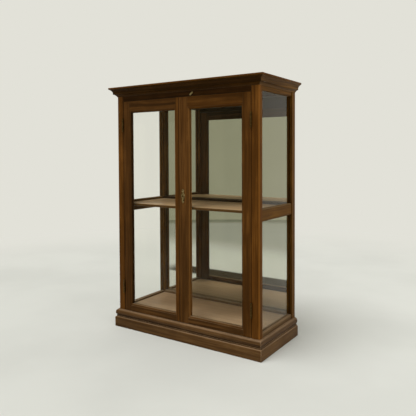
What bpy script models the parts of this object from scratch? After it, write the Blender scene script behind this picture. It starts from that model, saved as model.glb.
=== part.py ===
"""Haberdashery cabinet: two glazed doors, glazed sides, a mirrored back and one shelf.

Metres, +Z up. The origin is on the floor under the middle of the cabinet, with the doors towards -Y.
"""
import math

import bmesh
import bpy
from mathutils import Matrix, Vector

# Carcass, measured over the outer faces of the posts
CARCASS_WIDTH = 0.814
CARCASS_DEPTH = 0.367
HEIGHT = 1.220
FIT = 0.0003
ARRIS = 0.0008

# Plinth boards and the moulded base frame on top of them
PLINTH_HEIGHT = 0.050
PLINTH_OVERHANG = 0.016
PLINTH_THICKNESS = 0.022
PLINTH_ROUND = 0.006
BASE_HEIGHT = 0.038
BASE_INSET = 0.042
BASE_FILLET_OVERHANG = 0.010
BASE_FILLET_HEIGHT = 0.006
TORUS_OVERHANG = 0.0135
TORUS_SWELL = 0.011
TORUS_HEIGHT = 0.030
BACK_BOARD_THICKNESS = 0.040
FLOOR_THICKNESS = 0.012

# Posts, side rails and side glass
FRONT_POST_WIDTH = 0.038
FRONT_POST_DEPTH = 0.027
FRONT_POST_ROUND = 0.007
BACK_POST_DEPTH = 0.033
RAIL_INSET = 0.003
RAIL_THICKNESS = 0.026
RAIL_BEVEL_HEIGHT = 0.005
RAIL_BEVEL_DEPTH = 0.004
SIDE_TOP_SHOW = 0.019
MID_RAIL_HEIGHT = 0.055
MID_RAIL_RISE = 0.011
SILL_HEIGHT = 0.020
GROOVE_WIDTH = 0.004
GROOVE_DEPTH = 0.006
GLASS_THICKNESS = 0.003
GLASS_PLAY = 0.0005

# Top board, cornice and the rebated rail over the doors
TOP_THICKNESS = 0.008
TOP_ROUND = 0.0016
CORNICE_OVERHANG = 0.033
CORNICE_HEIGHT = 0.038
CORNICE_TOP_STEP = 0.001
CORNICE_COVE_HOLLOW = 0.0025
CORNICE_BAND_OVERHANG = 0.0165
CORNICE_BAND_HEIGHT = 0.009
CORNICE_BED_HEIGHT = 0.013
CORNICE_BED_STEP = 0.0025
CORNICE_BED_HOLLOW = 0.002
FRIEZE_HEIGHT = 0.061
FRIEZE_TENON = 0.015
FRIEZE_TENON_THICKNESS = 0.008
FRIEZE_TENON_HEIGHT = 0.034
STOP_DEPTH = 0.012
STOP_DROP = 0.012
STOP_GAP = 0.0005

# Mirrored back
MIRROR_THICKNESS = 0.003
MIRROR_LAP = 0.015
BACK_PANEL_THICKNESS = 0.005
BACK_REBATE_WIDTH = 0.010
BACK_RAIL_HEIGHT = 0.047
BACK_SILL_RISE = 0.010

# Shelf, and the bearers worked on the middle rails
SHELF_TOP = 0.635
SHELF_THICKNESS = 0.013
SHELF_SETBACK = 0.030
SHELF_ROUND = 0.003
BEARER = 0.014
BEARER_INSET = 0.018

# Door frames: a flat face, a quarter round worked on the inner edge and a groove for the glass
DOOR_GAP = 0.002
DOOR_THICKNESS = 0.022
MEETING_LINE = -0.018
STILE_FACE = 0.040
LEFT_MEETING_FACE = 0.017
RIGHT_MEETING_FACE = 0.049
TOP_RAIL_FACE = 0.049
BOTTOM_RAIL_FACE = 0.028
OVOLO_WIDTH = 0.009
OVOLO_DEPTH = 0.006
OVOLO_QUIRK = 0.0015
OVOLO_LIP = 0.001
BEAD_WIDTH = 0.010
BEAD_RISE = 0.002
BEAD_QUIRK = 0.0012

# Butt hinges
KNUCKLE_RADIUS = 0.004
KNUCKLES = 5
KNUCKLE_GAP = 0.0004
PIN_RADIUS = 0.0018
HINGE_LENGTH = 0.066
HINGE_SETBACK = 0.119
LEAF_THICKNESS = 0.0016
LEAF_DEPTH = 0.016
LEAF_NOTCH = 0.0004

# Lock in the right door, bolting into the edge of the left one
LOCK_HEIGHT = 0.050
LOCK_WIDTH = 0.042
LOCK_DEPTH = 0.012
LOCK_EDGE = 0.002
LOCK_CENTRE = 0.688
ESCUTCHEON_CLEARANCE = 0.001
KEYHOLE_RADIUS = 0.0024
KEYHOLE_SLOT = 0.0026
KEYHOLE_DROP = 0.009
LOCK_BOLT_HEIGHT = 0.016
LOCK_BOLT_THICKNESS = 0.005
LOCK_BOLT_LENGTH = 0.014
LOCK_THROW = 0.007
ESCUTCHEON_THICKNESS = 0.0014
ESCUTCHEON_HALF_HEIGHT = 0.034
ESCUTCHEON_HALF_WIDTH = 0.0110
ESCUTCHEON_NECK_DROP = 0.0175
ESCUTCHEON_NECK_HALF_WIDTH = 0.0056
ESCUTCHEON_LOBE_DROP = 0.0102
ESCUTCHEON_LOBE_HALF_WIDTH = 0.0068
ESCUTCHEON_TIP_DROP = 0.0032
ESCUTCHEON_TIP_HALF_WIDTH = 0.0032
KEY_RIM_HALF_WIDTH = 0.0080
KEY_RIM_HALF_HEIGHT = 0.0120
KEY_RIM_WALL = 0.0022
KEY_RIM_RISE = 0.0009

# Sliding bolts on the back of the left door's meeting stile
BOLT_RADIUS = 0.003
BOLT_PLAY = 0.0004
BOLT_LENGTH = 0.074
BOLT_REST_GAP = 0.003
BOLT_THROW = 0.010
BOLT_HOLE_DEPTH = 0.014
BOLT_PLATE_WIDTH = 0.018
BOLT_PLATE_THICKNESS = 0.0016
BOLT_PLATE_SETBACK = 0.007
STAPLE_HEIGHT = 0.010
STAPLE_WALL = 0.0018
BOLT_KNOB_RADIUS = 0.0032
BOLT_KNOB_REACH = 0.008

# Turn button on the rail over the right door
BUTTON_X = 0.0515
BUTTON_RISE = 0.006
BUTTON_REACH = 0.0155
BUTTON_PIVOT_RADIUS = 0.0042
BUTTON_TIP_RADIUS = 0.0030
BUTTON_THICKNESS = 0.003
BUTTON_ANGLE = math.radians(38)
SCREW_RADIUS = 0.0016
SCREW_LENGTH = 0.014
SCREW_HEAD_RADIUS = 0.0034
SCREW_HEAD_HEIGHT = 0.0018

# Facets of round shapes, and the angles past which an edge is softened or shaded sharp
ROUND_STEPS = 24
ARC_STEPS = 6
ROUND_EDGE_STEPS = 2
SOFTEN_ANGLE = math.radians(40)
SHARP_ANGLE = math.radians(30)
WELD_DISTANCE = 0.00001

# Finishes: colour, roughness, metallic
FINISHES = {
    "front wood": ((0.100, 0.040, 0.012), 0.38, 0.0),
    "side wood": ((0.120, 0.055, 0.020), 0.40, 0.0),
    "inside wood": ((0.190, 0.115, 0.060), 0.55, 0.0),
    "back wood": ((0.170, 0.110, 0.060), 0.70, 0.0),
    "glass": ((0.900, 0.940, 0.900), 0.02, 0.0),
    "mirror": ((0.800, 0.820, 0.780), 0.04, 1.0),
    "brass": ((0.420, 0.300, 0.120), 0.35, 1.0),
}

# Planes and lines that the pieces share
HALF_WIDTH = CARCASS_WIDTH / 2
FRONT = (CORNICE_OVERHANG - CARCASS_DEPTH) / 2
BACK = FRONT + CARCASS_DEPTH
BASE_TOP = PLINTH_HEIGHT + BASE_HEIGHT
FLOOR_TOP = BASE_TOP + FIT + FLOOR_THICKNESS
TOP_UNDER = HEIGHT - TOP_THICKNESS
CORNICE_BOTTOM = TOP_UNDER - CORNICE_HEIGHT
FRIEZE_BOTTOM = TOP_UNDER - FRIEZE_HEIGHT
SIDE_TOP_BOTTOM = CORNICE_BOTTOM - SIDE_TOP_SHOW
RAIL_OUTER = HALF_WIDTH - RAIL_INSET
RAIL_INNER = RAIL_OUTER - RAIL_THICKNESS
GROOVE_X = RAIL_OUTER - RAIL_THICKNESS / 2
FRONT_POST_BACK = FRONT + FRONT_POST_DEPTH
BACK_POST_FRONT = BACK - BACK_POST_DEPTH
PANEL_FRONT = BACK - BACK_PANEL_THICKNESS
MIRROR_FRONT = PANEL_FRONT - FIT - MIRROR_THICKNESS
REBATE_FRONT = MIRROR_FRONT - FIT
MID_RAIL_TOP = SHELF_TOP + MID_RAIL_RISE
MID_RAIL_BOTTOM = MID_RAIL_TOP - MID_RAIL_HEIGHT
SILL_TOP = BASE_TOP + FIT + SILL_HEIGHT
SHELF_SEAT = SHELF_TOP - SHELF_THICKNESS - FIT
STOP_FRONT = FRONT + DOOR_THICKNESS + STOP_GAP
POST_INNER = HALF_WIDTH - FRONT_POST_WIDTH
DOOR_OUTER = POST_INNER - DOOR_GAP
DOOR_BOTTOM = BASE_TOP + DOOR_GAP
DOOR_TOP = FRIEZE_BOTTOM - DOOR_GAP
DOOR_BACK = FRONT + DOOR_THICKNESS
LEFT_MEETING_EDGE = MEETING_LINE - DOOR_GAP / 2
RIGHT_MEETING_EDGE = MEETING_LINE + DOOR_GAP / 2
GLAZING_FRONT = OVOLO_QUIRK + OVOLO_DEPTH + OVOLO_LIP
HINGE_X = POST_INNER - DOOR_GAP / 2
HINGE_Y = FRONT - KNUCKLE_RADIUS - FIT
HINGE_LEVELS = {"top": DOOR_TOP - HINGE_SETBACK, "bottom": DOOR_BOTTOM + HINGE_SETBACK}
BOLT_X = LEFT_MEETING_EDGE - (LEFT_MEETING_FACE + OVOLO_WIDTH) / 2
BOLT_Y = DOOR_BACK + FIT + BOLT_PLATE_THICKNESS + BOLT_PLAY + BOLT_RADIUS

X_AXIS = Vector((1, 0, 0))
Y_AXIS = Vector((0, 1, 0))
Z_AXIS = Vector((0, 0, 1))


def clear_scene():
    for old in list(bpy.data.objects):
        bpy.data.objects.remove(old, do_unlink=True)


def new_collection(name):
    made = bpy.data.collections.new(name)
    bpy.context.scene.collection.children.link(made)
    return made


def finish_material(name, finish):
    colour, roughness, metallic = FINISHES[finish]
    material = bpy.data.materials.new(f"{name} {finish}")
    material.use_nodes = True
    shader = material.node_tree.nodes["Principled BSDF"]
    shader.inputs["Base Color"].default_value = (*colour, 1.0)
    shader.inputs["Roughness"].default_value = roughness
    shader.inputs["Metallic"].default_value = metallic
    material.diffuse_color = (*colour, 1.0)
    return material


def as_part(piece, finish, parent=None):
    """Keep a shape as a sub-part, with its finish, riding on the empty that moves it."""
    PARTS.objects.link(piece)
    piece.data.materials.clear()
    piece.data.materials.append(finish_material(piece.name, finish))
    if parent:
        piece.location -= parent.location
        piece.parent = parent
    return piece


def as_cutter(piece):
    CUTTERS.objects.link(piece)
    piece.hide_render = True
    piece.display_type = "WIRE"
    return piece


def pivot(name, place):
    """An empty on a joint's axis, which carries the pieces that move about it."""
    empty = bpy.data.objects.new(name, None)
    empty.location = place
    PARTS.objects.link(empty)
    return empty


def mesh_object(name, shape, place):
    mesh = bpy.data.meshes.new(name)
    shape.to_mesh(mesh)
    shape.free()
    piece = bpy.data.objects.new(name, mesh)
    piece.location = place
    return piece


def box(name, low, high):
    """A square-edged block between two corners, with its origin in the middle."""
    low = Vector(low)
    high = Vector(high)
    shape = bmesh.new()
    bmesh.ops.create_cube(shape, size=1.0, matrix=Matrix.Diagonal((*(high - low), 1.0)))
    return mesh_object(name, shape, (low + high) / 2)


def cylinder(name, radius, start, along, length, steps=ROUND_STEPS):
    """A round bar from a starting point along an axis."""
    shape = bmesh.new()
    turn = Z_AXIS.rotation_difference(along).to_matrix().to_4x4()
    middle = Matrix.Translation(along * (length / 2))
    bmesh.ops.create_cone(
        shape, cap_ends=True, segments=steps, radius1=radius, radius2=radius, depth=length,
        matrix=middle @ turn,
    )
    return mesh_object(name, shape, Vector(start))


def curve_mesh(curve):
    """The welded mesh of a curve object, which is then removed."""
    bpy.context.scene.collection.objects.link(curve)
    ready = curve.evaluated_get(bpy.context.evaluated_depsgraph_get())
    shape = bmesh.new()
    drawn = bpy.data.meshes.new_from_object(ready)
    shape.from_mesh(drawn)
    bpy.data.meshes.remove(drawn)
    bpy.data.objects.remove(curve, do_unlink=True)
    bmesh.ops.remove_doubles(shape, verts=shape.verts, dist=WELD_DISTANCE)
    return shape


def flat_curve(outline, thickness, smooth=False):
    """A flat outline with half its thickness to each side, straight or smooth between its points."""
    data = bpy.data.curves.new("outline", "CURVE")
    data.dimensions = "2D"
    data.fill_mode = "BOTH"
    data.extrude = thickness / 2
    data.resolution_u = ARC_STEPS
    spline = data.splines.new("BEZIER" if smooth else "POLY")
    points = spline.bezier_points if smooth else spline.points
    points.add(len(outline) - 1)
    for point, (across, upward) in zip(points, outline):
        point.co = (across, upward, 0.0) if smooth else (across, upward, 0.0, 1.0)
        if smooth:
            point.handle_left_type = "AUTO"
            point.handle_right_type = "AUTO"
    spline.use_cyclic_u = True
    return bpy.data.objects.new("outline", data)


def drawn_out(name, outline, length, across, upward, start, near_mitre=0.0, far_mitre=0.0, smooth=False):
    """An outline drawn out along across x upward; a mitre lengthens an end with the distance across."""
    shape = curve_mesh(flat_curve(outline, length, smooth))
    for corner in shape.verts:
        lengthen = far_mitre if corner.co.z > 0 else -near_mitre
        corner.co.z += length / 2 + lengthen * corner.co.x
    axes = Matrix((across, upward, across.cross(upward))).transposed()
    shape.transform(axes.to_4x4())
    bmesh.ops.recalc_face_normals(shape, faces=shape.faces)
    if shape.calc_volume(signed=True) < 0:
        bmesh.ops.reverse_faces(shape, faces=shape.faces)
    return mesh_object(name, shape, Vector(start))


def boolean(piece, tool, operation="DIFFERENCE"):
    cut = piece.modifiers.new(tool.name, "BOOLEAN")
    cut.operation = operation
    cut.object = tool
    cut.solver = "EXACT"


def soften(piece, width=ARRIS, steps=1):
    edge = piece.modifiers.new("softened edges", "BEVEL")
    edge.width = width
    edge.segments = steps
    edge.limit_method = "ANGLE"
    edge.angle_limit = SOFTEN_ANGLE


def arc(centre, across, upward, start, end, steps=ARC_STEPS):
    """Points of an elliptical arc, its angles in degrees from the across axis."""
    points = []
    for step in range(steps + 1):
        angle = math.radians(start + (end - start) * step / steps)
        points.append((centre[0] + across * math.cos(angle), centre[1] + upward * math.sin(angle)))
    return points


def hollow(start, end, depth, steps=ARC_STEPS):
    """Points of a shallow hollow between two points, sunk to the left of the way from one to the other."""
    along = Vector(end) - Vector(start)
    inward = Vector((-along.y, along.x)).normalized()
    points = []
    for step in range(steps + 1):
        share = step / steps
        sunk = Vector(start) + share * along + 4 * share * (1 - share) * depth * inward
        points.append(tuple(sunk))
    return points


def wrapped_moulding(level, section, finish, names):
    """One moulding on the front and both sides, mitred at the front corners and square at the back.

    The section's first value is how far it stands out from the carcass, its second the height.
    """
    front_length = CARCASS_WIDTH - 2 * FIT
    side_length = CARCASS_DEPTH - FIT
    front_start = (HALF_WIDTH - FIT, FRONT, level)
    front = drawn_out(names[0], section, front_length, -Y_AXIS, Z_AXIS, front_start, 1.0, 1.0)
    left_start = (-HALF_WIDTH, FRONT + FIT, level)
    left = drawn_out(names[1], section, side_length, -X_AXIS, Z_AXIS, left_start, near_mitre=1.0)
    right_start = (HALF_WIDTH, BACK, level)
    right = drawn_out(names[2], section, side_length, X_AXIS, Z_AXIS, right_start, far_mitre=1.0)
    for piece in (front, left, right):
        as_part(piece, finish)


def make_plinth():
    inner = PLINTH_OVERHANG - PLINTH_THICKNESS
    section = [(inner, 0.0), (PLINTH_OVERHANG, 0.0)]
    round_centre = (PLINTH_OVERHANG - PLINTH_ROUND, PLINTH_HEIGHT - FIT - PLINTH_ROUND)
    section += arc(round_centre, PLINTH_ROUND, PLINTH_ROUND, 0, 90)
    section += [(inner, PLINTH_HEIGHT - FIT)]
    wrapped_moulding(0.0, section, "front wood", ("plinth_front", "plinth_left", "plinth_right"))

    # The board across the back is notched over the side pieces of the base frame
    wide = HALF_WIDTH + inner - FIT
    narrow = HALF_WIDTH - BASE_INSET - FIT
    notch = PLINTH_HEIGHT - FIT
    outline = [(-wide, 0.0), (wide, 0.0), (wide, notch), (narrow, notch)]
    outline += [(narrow, BASE_TOP), (-narrow, BASE_TOP), (-narrow, notch), (-wide, notch)]
    back = drawn_out("plinth_back", outline, BACK_BOARD_THICKNESS, X_AXIS, Z_AXIS, (0.0, BACK, 0.0))
    as_part(back, "back wood")


def make_base_frame():
    fillet_top = BASE_FILLET_HEIGHT
    torus_middle = fillet_top + TORUS_HEIGHT / 2
    spring = TORUS_OVERHANG - TORUS_SWELL
    section = [(-BASE_INSET, 0.0), (BASE_FILLET_OVERHANG, 0.0), (BASE_FILLET_OVERHANG, fillet_top)]
    section += arc((spring, torus_middle), TORUS_SWELL, TORUS_HEIGHT / 2, -90, 90, 2 * ARC_STEPS)
    section += [(spring, BASE_HEIGHT), (-BASE_INSET, BASE_HEIGHT)]
    names = ("base_moulding_front", "base_moulding_left", "base_moulding_right")
    wrapped_moulding(PLINTH_HEIGHT, section, "front wood", names)


def bolt_hole(name, level):
    """A drilled hole that takes the end of a sliding bolt."""
    radius = BOLT_RADIUS + BOLT_PLAY
    return as_cutter(cylinder(name, radius, (BOLT_X, BOLT_Y, level), Z_AXIS, BOLT_HOLE_DEPTH))


def make_floor():
    reach = RAIL_INNER - FIT
    low = (-reach, STOP_FRONT, BASE_TOP + FIT)
    floor = as_part(box("floor_board", low, (reach, BACK_POST_FRONT - FIT, FLOOR_TOP)), "inside wood")
    for side, hand in ((-1, "left"), (1, "right")):
        low_x, high_x = sorted((side * (POST_INNER - FIT), side * HALF_WIDTH))
        notch_high = (high_x, FRONT_POST_BACK + FIT, FLOOR_TOP + FIT)
        boolean(floor, as_cutter(box(f"{hand} floor notch", (low_x, FRONT, BASE_TOP), notch_high)))
    boolean(floor, bolt_hole("floor bolt hole", FLOOR_TOP - BOLT_HOLE_DEPTH + FIT))


def hinge_gain(name, side, level, face, inward):
    """The shallow seat of a hinge leaf, cut into the face that it lies on."""
    far = face + inward * (LEAF_THICKNESS + FIT)
    near = face - inward * DOOR_GAP / 2
    low_x, high_x = sorted((side * near, side * far))
    half = HINGE_LENGTH / 2 + FIT
    low = (low_x, FRONT - KNUCKLE_RADIUS, level - half)
    return as_cutter(box(name, low, (high_x, FRONT + LEAF_DEPTH + FIT, level + half)))


def make_posts():
    top = TOP_UNDER - FIT
    height = top - BASE_TOP - FIT
    half_groove = GROOVE_WIDTH / 2
    groove_near = GROOVE_X - half_groove
    groove_far = GROOVE_X + half_groove
    front_groove = FRONT_POST_BACK - GROOVE_DEPTH
    back_groove = BACK_POST_FRONT + GROOVE_DEPTH
    rebate = RAIL_INNER + BACK_REBATE_WIDTH

    front_section = [(POST_INNER, FRONT)]
    corner = (HALF_WIDTH - FRONT_POST_ROUND, FRONT + FRONT_POST_ROUND)
    front_section += arc(corner, FRONT_POST_ROUND, FRONT_POST_ROUND, -90, 0)
    front_section += [(HALF_WIDTH, FRONT_POST_BACK), (groove_far, FRONT_POST_BACK)]
    front_section += [(groove_far, front_groove), (groove_near, front_groove)]
    front_section += [(groove_near, FRONT_POST_BACK), (POST_INNER, FRONT_POST_BACK)]

    back_section = [(RAIL_INNER, BACK_POST_FRONT), (groove_near, BACK_POST_FRONT), (groove_near, back_groove)]
    back_section += [(groove_far, back_groove), (groove_far, BACK_POST_FRONT), (HALF_WIDTH, BACK_POST_FRONT)]
    back_section += [(HALF_WIDTH, BACK), (rebate, BACK), (rebate, REBATE_FRONT), (RAIL_INNER, REBATE_FRONT)]

    for side, hand in ((-1, "left"), (1, "right")):
        for place, section in (("front", front_section), ("back", back_section)):
            outline = [(side * across, along) for across, along in section]
            start = (0.0, 0.0, BASE_TOP + FIT)
            post = drawn_out(f"post_{place}_{hand}", outline, height, X_AXIS, Y_AXIS, start)
            as_part(post, "front wood" if place == "front" else "side wood")
            if place == "front":
                for end, level in HINGE_LEVELS.items():
                    name = f"{hand} post {end} gain"
                    boolean(post, hinge_gain(name, side, level, POST_INNER, 1))
                boolean(post, as_cutter(frieze_tenon(f"{hand} frieze mortise", side, FIT)))


def frieze_tenon(name, side, grow):
    """The tenon of the rail over the doors, or its mortise when it is grown by a clearance."""
    middle_y = FRONT + FRONT_POST_DEPTH / 2
    middle_z = FRIEZE_BOTTOM + FRIEZE_HEIGHT / 2
    half_y = FRIEZE_TENON_THICKNESS / 2 + grow
    half_z = FRIEZE_TENON_HEIGHT / 2 + grow
    root = POST_INNER - FIT - FRIEZE_TENON / 2
    low_x, high_x = sorted((side * root, side * (POST_INNER + FRIEZE_TENON + grow)))
    low = (low_x, middle_y - half_y, middle_z - half_z)
    return box(name, low, (high_x, middle_y + half_y, middle_z + half_z))


def make_frieze():
    reach = POST_INNER - FIT
    stop_back = STOP_FRONT + STOP_DEPTH
    stop_bottom = FRIEZE_BOTTOM - STOP_DROP
    top = TOP_UNDER - FIT
    section = [(FRONT, FRIEZE_BOTTOM), (STOP_FRONT, FRIEZE_BOTTOM), (STOP_FRONT, stop_bottom)]
    section += [(stop_back, stop_bottom), (stop_back, top), (FRONT, top)]
    frieze = drawn_out("frieze_rail", section, 2 * reach, Y_AXIS, Z_AXIS, (-reach, 0.0, 0.0))
    as_part(frieze, "front wood")
    for side, hand in ((-1, "left"), (1, "right")):
        boolean(frieze, as_cutter(frieze_tenon(f"{hand} frieze tenon", side, 0.0)), "UNION")
    boolean(frieze, bolt_hole("frieze bolt hole", stop_bottom - FIT))
    start = (BUTTON_X, FRONT - FIT, FRIEZE_BOTTOM + BUTTON_RISE)
    depth = SCREW_LENGTH + 2 * FIT
    hole = cylinder("frieze screw hole", SCREW_RADIUS + FIT, start, Y_AXIS, depth, ROUND_STEPS // 2)
    boolean(frieze, as_cutter(hole))


def side_rail(name, side, low, high, shoulder=None, seat=None, groove_below=False, groove_above=False):
    """A rail between the posts of one side, grooved for the glass and tongued into the posts' grooves.

    Edges that hold glass are bevelled outside. A shoulder is the height from which the rail comes out flush
    with the posts, and a seat is the height of a bearer inside that carries the shelf.
    """
    near = GROOVE_X - GROOVE_WIDTH / 2
    far = GROOVE_X + GROOVE_WIDTH / 2
    bevelled = RAIL_OUTER - RAIL_BEVEL_DEPTH
    section = [(RAIL_INNER, low)]
    tongue_low = low
    tongue_high = high
    if groove_below:
        tongue_low = low + GROOVE_DEPTH
        section += [(near, low), (near, tongue_low), (far, tongue_low), (far, low)]
        section += [(bevelled, low), (RAIL_OUTER, low + RAIL_BEVEL_HEIGHT)]
    else:
        section += [(RAIL_OUTER, low)]
    if shoulder:
        section += [(RAIL_OUTER, shoulder), (HALF_WIDTH, shoulder), (HALF_WIDTH, high)]
    if groove_above:
        tongue_high = high - GROOVE_DEPTH
        section += [(RAIL_OUTER, high - RAIL_BEVEL_HEIGHT), (bevelled, high)]
        section += [(far, high), (far, tongue_high), (near, tongue_high), (near, high)]
    section += [(RAIL_INNER, high)]
    outline = [(side * across, upward) for across, upward in section]
    back = BACK_POST_FRONT - FIT
    length = back - FRONT_POST_BACK - FIT
    rail = as_part(drawn_out(name, outline, length, X_AXIS, Z_AXIS, (0.0, back, 0.0)), "side wood")

    half_tongue = GROOVE_WIDTH / 2 - FIT
    reach = GROOVE_DEPTH - FIT
    tongue_x = side * GROOVE_X
    tongue_front = FRONT_POST_BACK - reach
    tongue_back = BACK_POST_FRONT + reach
    lowest = (tongue_x - half_tongue, tongue_front, tongue_low + FIT)
    highest = (tongue_x + half_tongue, tongue_back, tongue_high - FIT)
    boolean(rail, as_cutter(box(f"{name} tongue", lowest, highest)), "UNION")
    if seat:
        low_x, high_x = sorted((side * (RAIL_INNER - BEARER), side * near))
        bearer_low = (low_x, FRONT_POST_BACK + BEARER_INSET, seat - BEARER)
        bearer_high = (high_x, BACK_POST_FRONT - BEARER_INSET, seat)
        boolean(rail, as_cutter(box(f"{name} bearer", bearer_low, bearer_high)), "UNION")


def make_sides():
    pane_front = FRONT_POST_BACK - GROOVE_DEPTH + GLASS_PLAY
    pane_back = BACK_POST_FRONT + GROOVE_DEPTH - GLASS_PLAY
    tuck = GROOVE_DEPTH - GLASS_PLAY
    panes = {
        "upper": (MID_RAIL_TOP - tuck, SIDE_TOP_BOTTOM + tuck),
        "lower": (SILL_TOP - tuck, MID_RAIL_BOTTOM + tuck),
    }
    for side, hand in ((-1, "left"), (1, "right")):
        side_rail(
            f"side_top_rail_{hand}", side, SIDE_TOP_BOTTOM, TOP_UNDER - FIT, CORNICE_BOTTOM, groove_below=True
        )
        side_rail(
            f"side_mid_rail_{hand}", side, MID_RAIL_BOTTOM, MID_RAIL_TOP, seat=SHELF_SEAT,
            groove_below=True, groove_above=True,
        )
        side_rail(f"side_bottom_rail_{hand}", side, BASE_TOP + FIT, SILL_TOP, groove_above=True)
        for level, (low, high) in panes.items():
            middle = side * GROOVE_X
            half = GLASS_THICKNESS / 2
            corner = (middle - half, pane_front, low)
            pane = box(f"side_glass_{level}_{hand}", corner, (middle + half, pane_back, high))
            as_part(pane, "glass")


def make_back():
    reach = RAIL_INNER - FIT
    rail_bottom = TOP_UNDER - BACK_RAIL_HEIGHT
    top = TOP_UNDER - FIT
    rails = {
        "back_top_rail": (rail_bottom, top),
        "back_mid_rail": (MID_RAIL_BOTTOM, MID_RAIL_TOP),
        "back_bottom_rail": (BASE_TOP + FIT, FLOOR_TOP + BACK_SILL_RISE),
    }
    for name, (low, high) in rails.items():
        rail = box(name, (-reach, BACK_POST_FRONT, low), (reach, REBATE_FRONT, high))
        as_part(rail, "side wood")
    wide = RAIL_INNER + BACK_REBATE_WIDTH - FIT
    bottom = BASE_TOP + FIT
    mirror_top = rail_bottom + MIRROR_LAP
    mirror = box("mirror", (-wide, MIRROR_FRONT, bottom), (wide, PANEL_FRONT - FIT, mirror_top))
    as_part(mirror, "mirror")
    as_part(box("back_panel", (-wide, PANEL_FRONT, bottom), (wide, BACK, top)), "back wood")


def make_shelf():
    reach = RAIL_INNER - GLASS_PLAY
    front = FRONT + SHELF_SETBACK
    bottom = SHELF_TOP - SHELF_THICKNESS
    shelf = box("shelf", (-reach, front, bottom), (reach, BACK_POST_FRONT - FIT, SHELF_TOP))
    soften(as_part(shelf, "inside wood"), SHELF_ROUND, ROUND_EDGE_STEPS)


def make_top():
    wide = HALF_WIDTH + CORNICE_OVERHANG
    board = box("top_board", (-wide, FRONT - CORNICE_OVERHANG, TOP_UNDER), (wide, BACK, HEIGHT))
    soften(as_part(board, "front wood"), TOP_ROUND, ROUND_EDGE_STEPS)

    band_top = CORNICE_BED_HEIGHT + CORNICE_BAND_HEIGHT
    cove_out = CORNICE_OVERHANG - CORNICE_TOP_STEP
    top = CORNICE_HEIGHT - FIT
    bed_out = CORNICE_BAND_OVERHANG - CORNICE_BED_STEP
    section = hollow((FIT, 0.0), (bed_out, CORNICE_BED_HEIGHT), CORNICE_BED_HOLLOW)
    section += [(CORNICE_BAND_OVERHANG, CORNICE_BED_HEIGHT)]
    section += hollow((CORNICE_BAND_OVERHANG, band_top), (cove_out, top), CORNICE_COVE_HOLLOW)
    section += [(FIT, top)]
    names = ("cornice_front", "cornice_left", "cornice_right")
    wrapped_moulding(CORNICE_BOTTOM, section, "front wood", names)


def sash_section(face, grow=0.0, bead=False):
    """The section of a door stile or rail, from its outer edge to the sight edge.

    Grown by a clearance it is the cutter that copes the end of a rail over a stile.
    """
    sight = face + OVOLO_WIDTH + grow
    ovolo_back = OVOLO_QUIRK + OVOLO_DEPTH
    groove_front = GLAZING_FRONT + grow
    groove_back = GLAZING_FRONT + GROOVE_WIDTH - grow
    groove_floor = sight - GROOVE_DEPTH
    back = DOOR_THICKNESS + grow
    section = [(-grow, -grow)]
    if bead:
        quirk_end = BEAD_WIDTH + BEAD_QUIRK
        section = arc((BEAD_WIDTH / 2, 0.0), BEAD_WIDTH / 2, BEAD_RISE, -180, 0)
        section += [(BEAD_WIDTH, BEAD_QUIRK), (quirk_end, BEAD_QUIRK), (quirk_end, 0.0)]
    section += [(face + grow, -grow)]
    first = math.degrees(math.acos(grow / (OVOLO_WIDTH + grow)))
    section += arc((face, ovolo_back), OVOLO_WIDTH + grow, OVOLO_DEPTH + grow, -first, 0)
    section += [(sight, groove_front), (groove_floor, groove_front)]
    section += [(groove_floor, groove_back), (sight, groove_back), (sight, back), (-grow, back)]
    return section


def make_door(hand, hinge, left, right, left_face, right_face, bead):
    """A framed glass door between two edges; the hinge is the empty that it swings on."""
    height = DOOR_TOP - DOOR_BOTTOM
    over = DOOR_GAP
    stiles = {"hinge_stile": (left, left_face, 1), "meeting_stile": (right, right_face, -1)}
    if hand == "right":
        stiles = {"meeting_stile": (left, left_face, 1), "hinge_stile": (right, right_face, -1)}
    made = {}
    copes = []
    for name, (edge, face, inward) in stiles.items():
        raised = bead and name == "meeting_stile"
        outline = [(inward * across, depth) for across, depth in sash_section(face, bead=raised)]
        start = (edge, FRONT, DOOR_BOTTOM)
        stile = drawn_out(f"{hand}_door_{name}", outline, height, X_AXIS, Y_AXIS, start)
        made[name] = as_part(stile, "front wood", hinge)
        grown = [(inward * across, depth) for across, depth in sash_section(face, FIT)]
        below = (edge, FRONT, DOOR_BOTTOM - over)
        cope = drawn_out(f"{hand} {name} cope", grown, height + 2 * over, X_AXIS, Y_AXIS, below)
        copes.append(as_cutter(cope))

    rail_left = left + left_face
    length = right - right_face - rail_left
    rails = {"top_rail": (DOOR_TOP, TOP_RAIL_FACE, -1), "bottom_rail": (DOOR_BOTTOM, BOTTOM_RAIL_FACE, 1)}
    for name, (edge, face, inward) in rails.items():
        outline = [(depth, inward * across) for across, depth in sash_section(face)]
        start = (rail_left, FRONT, edge)
        rail = drawn_out(f"{hand}_door_{name}", outline, length, Y_AXIS, Z_AXIS, start)
        as_part(rail, "front wood", hinge)
        for cope in copes:
            boolean(rail, cope)

    tuck = OVOLO_WIDTH - GROOVE_DEPTH + GLASS_PLAY
    pane_front = FRONT + GLAZING_FRONT + (GROOVE_WIDTH - GLASS_THICKNESS) / 2
    low = (left + left_face + tuck, pane_front, DOOR_BOTTOM + BOTTOM_RAIL_FACE + tuck)
    high = (right - right_face - tuck, pane_front + GLASS_THICKNESS, DOOR_TOP - TOP_RAIL_FACE - tuck)
    as_part(box(f"{hand}_door_glass", low, high), "glass", hinge)
    return made


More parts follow.
